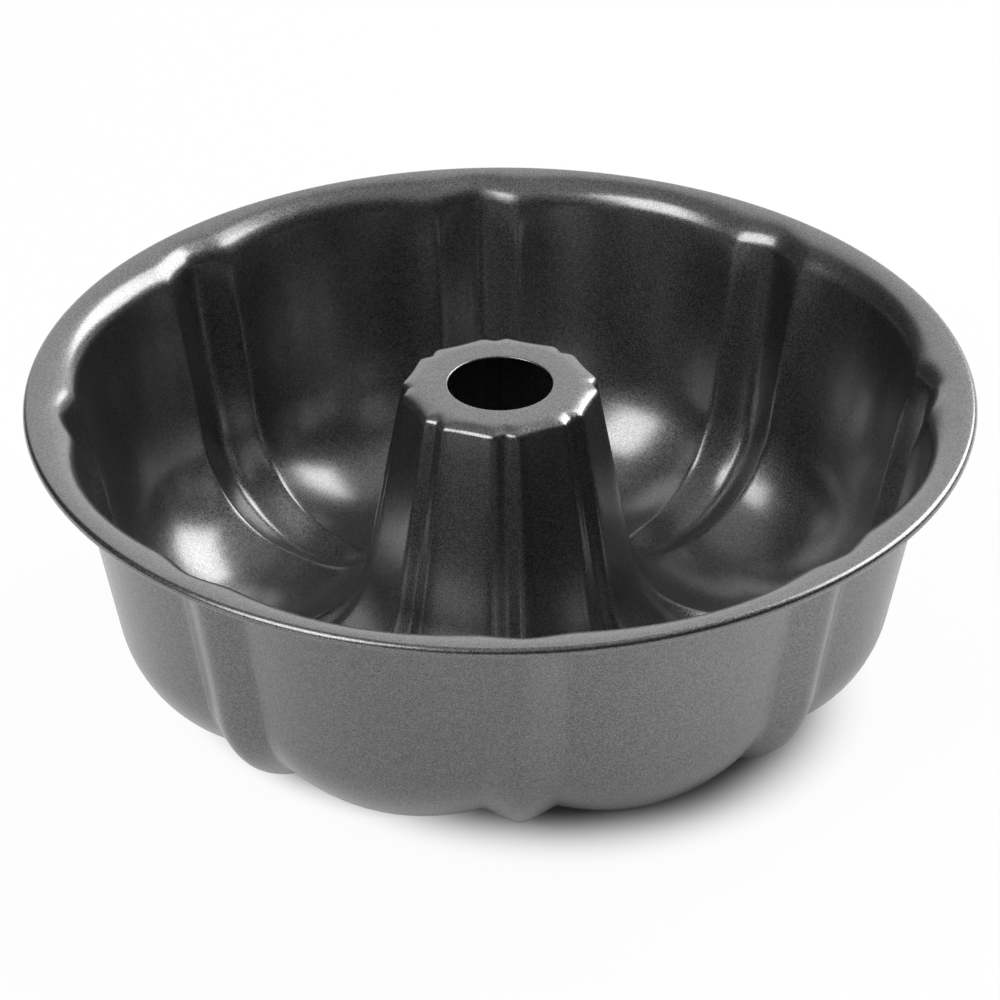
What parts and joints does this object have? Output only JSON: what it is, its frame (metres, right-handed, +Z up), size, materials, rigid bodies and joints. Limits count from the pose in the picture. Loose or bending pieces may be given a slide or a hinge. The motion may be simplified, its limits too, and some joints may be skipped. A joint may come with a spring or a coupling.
{
  "type": "savarin mould",
  "caption": "Deep ring cake mould drawn from one steel sheet, with rounded lobes between pressed channels, an open tapered chimney and a rolled rim stiffened by a wire.",
  "frame": {"origin": "on the resting plane, under the middle of the chimney", "axes": "+Z up along the chimney's axis, with a pressed channel along +X, -X, +Y and -Y"},
  "size_m": [0.26, 0.26, 0.0863],
  "materials": {
    "non_stick_coating": "dark charcoal non-stick coating with fine metallic flake, semi-gloss",
    "bare_steel": "drawn bright wire"
  },
  "bodies": {
    "root": {"mould_shell": "non_stick_coating", "rim_wire": "bare_steel"}
  },
  "joints": []
}
